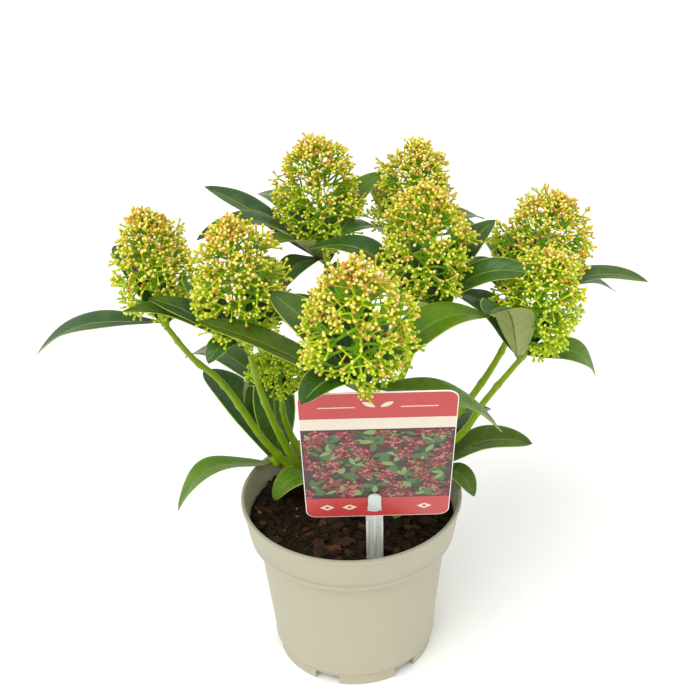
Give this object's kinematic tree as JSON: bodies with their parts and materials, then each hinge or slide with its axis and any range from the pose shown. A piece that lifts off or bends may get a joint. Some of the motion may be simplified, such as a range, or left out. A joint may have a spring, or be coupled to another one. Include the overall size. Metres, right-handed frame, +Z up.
{
  "type": "potted plant",
  "caption": "Skimmia in bud in a round nursery pot, with glossy dark green leaves, yellow-green and peach heads of flower buds, and a red plant label on a stake.",
  "frame": {"origin": "the middle of the flat disc under the pot's floor, at ground level", "axes": "+Z up, +X to the right and +Y away from the viewer as the picture shows the plant, with the label on the -Y side"},
  "size_m": [0.3506, 0.2459, 0.3083],
  "materials": {
    "pot": "satin, moulded",
    "soil": "damp, loose",
    "label_stake": "translucent white",
    "label_card": "printed",
    "bark": "brown bark",
    "green_bark": "smooth green bark",
    "leaf": "glossy leaf",
    "bud": "waxy buds"
  },
  "bodies": {
    "root": {"pot": "pot", "soil": "soil", "label_stake": "label_stake", "label_card": "label_card", "trunk": "bark", "bough_left": "green_bark", "bough_right": "green_bark", "stem_a": "green_bark", "stem_b": "green_bark", "stem_c": "green_bark", "stem_d": "green_bark", "stem_e": "green_bark", "stem_f": "green_bark", "stem_g": "green_bark", "stem_h": "green_bark", "stem_i": "green_bark", "leaves_a": "leaf", "leaves_b": "leaf", "leaves_c": "leaf", "leaves_d": "leaf", "leaves_e": "leaf", "leaves_f": "leaf", "leaves_g": "leaf", "leaves_h": "leaf", "leaves_i": "leaf", "leaves_low_left": "leaf", "leaves_low_mid": "leaf", "leaves_low_right": "leaf", "buds_a": "bud", "buds_b": "bud", "buds_c": "bud", "buds_d": "bud", "buds_e": "bud", "buds_f": "bud", "buds_g": "bud", "buds_h": "bud", "buds_i": "bud"}
  },
  "joints": []
}
